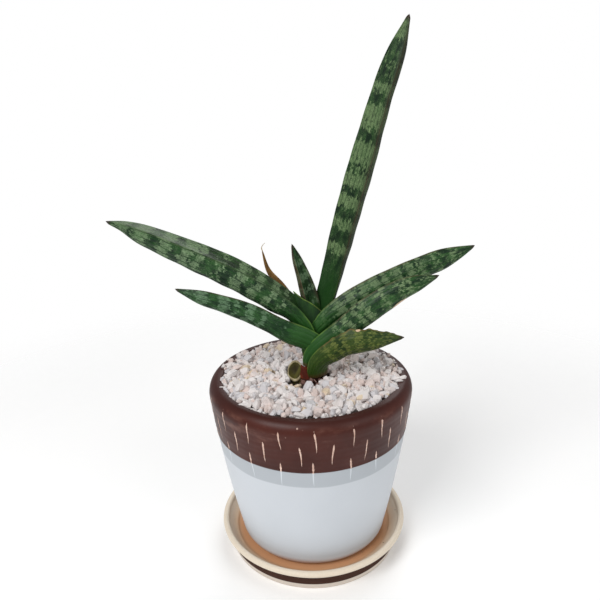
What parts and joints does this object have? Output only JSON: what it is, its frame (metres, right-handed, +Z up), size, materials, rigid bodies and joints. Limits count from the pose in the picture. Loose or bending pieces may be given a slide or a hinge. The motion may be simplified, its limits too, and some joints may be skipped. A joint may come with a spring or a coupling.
{
  "type": "potted starfish snake plant",
  "caption": "Young snake plant with banded cylindrical leaves fanned in two ranks, in white gravel in a tapering two-tone glazed pot on its saucer.",
  "frame": {"origin": "middle of the saucer's flat underside, on the pot's axis", "axes": "+Z up; +X to the side that the tall leaf leans to; the leaves fan in the X-Z plane; -Y is the front"},
  "size_m": [0.2043, 0.1198, 0.304],
  "materials": {
    "saucer_glaze": "satin tan glaze, pale lip, dark stripe round the foot",
    "pot_glaze": "satin white glaze, grey-blue band, dark brown upper band scratched with pale dashes",
    "soil": "dark crumbly potting soil",
    "gravel": "broken white and pinkish marble chips",
    "stem": "brown dried sheath and olive stump",
    "leaf_green": "dark green waxy leaf with pale green cross bands and a brown margin",
    "leaf_olive": "olive waxy leaf with yellow-green mottling and a dry wavy margin",
    "leaf_dry": "withered brown leaf"
  },
  "bodies": {
    "root": {"saucer": "saucer_glaze", "pot": "pot_glaze", "potting_soil": "soil", "gravel": "gravel", "stem": "stem", "leaf_front_right": "leaf_olive", "leaf_left_lower": "leaf_green", "leaf_right_second": "leaf_green", "leaf_right_upper": "leaf_green", "leaf_left_long": "leaf_green", "leaf_young": "leaf_green", "leaf_tall": "leaf_green", "leaf_thin_dry": "leaf_dry"}
  },
  "joints": []
}
